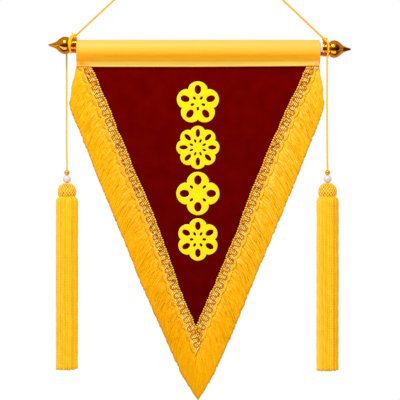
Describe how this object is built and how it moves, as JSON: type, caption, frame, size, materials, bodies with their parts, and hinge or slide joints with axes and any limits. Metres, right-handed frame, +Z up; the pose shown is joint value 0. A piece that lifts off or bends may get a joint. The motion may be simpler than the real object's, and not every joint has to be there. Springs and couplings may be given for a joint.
{
  "type": "triangular pennant on a hanging rod",
  "caption": "Triangular velvet pennant with gold braid and fringe, hung by a satin sleeve from a rod with tear-drop finials, a hanging cord and side tassels.",
  "frame": {"origin": "inside top of the hanging loop, where the nail or hook that holds the pennant bears", "axes": "+Z up, +X to the viewer's right along the rod, and the velvet's front faces -Y"},
  "size_m": [0.3358, 0.0447, 0.5425],
  "materials": {
    "gold_satin": "satin",
    "red_velvet": "velvet pile",
    "gold_yarn": "glossy rayon yarn",
    "gold_cord": "twisted cord",
    "gilt": "polished",
    "white_plastic": "smooth",
    "pearl": "pearl lustre"
  },
  "bodies": {
    "root": {"rod": "white_plastic", "sleeve": "gold_satin", "field": "red_velvet", "braid_left": "gold_cord", "braid_right": "gold_cord", "fringe_left": "gold_yarn", "fringe_right": "gold_yarn", "ornament_1": "gold_satin", "ornament_2": "gold_satin", "ornament_3": "gold_satin", "ornament_4": "gold_satin", "finial_left": "gilt", "finial_right": "gilt", "hang_cord_left": "gold_cord", "hang_cord_right": "gold_cord", "hang_loop": "gold_cord", "neck_knot_left": "gold_cord", "neck_knot_right": "gold_cord", "tassel_cord_left": "gold_cord", "tassel_cord_right": "gold_cord", "gold_bead_left": "gilt", "gold_bead_right": "gilt", "pearl_left": "pearl", "pearl_right": "pearl", "tassel_head_left": "gold_yarn", "tassel_head_right": "gold_yarn", "tassel_skirt_left": "gold_yarn", "tassel_skirt_right": "gold_yarn"}
  },
  "joints": []
}
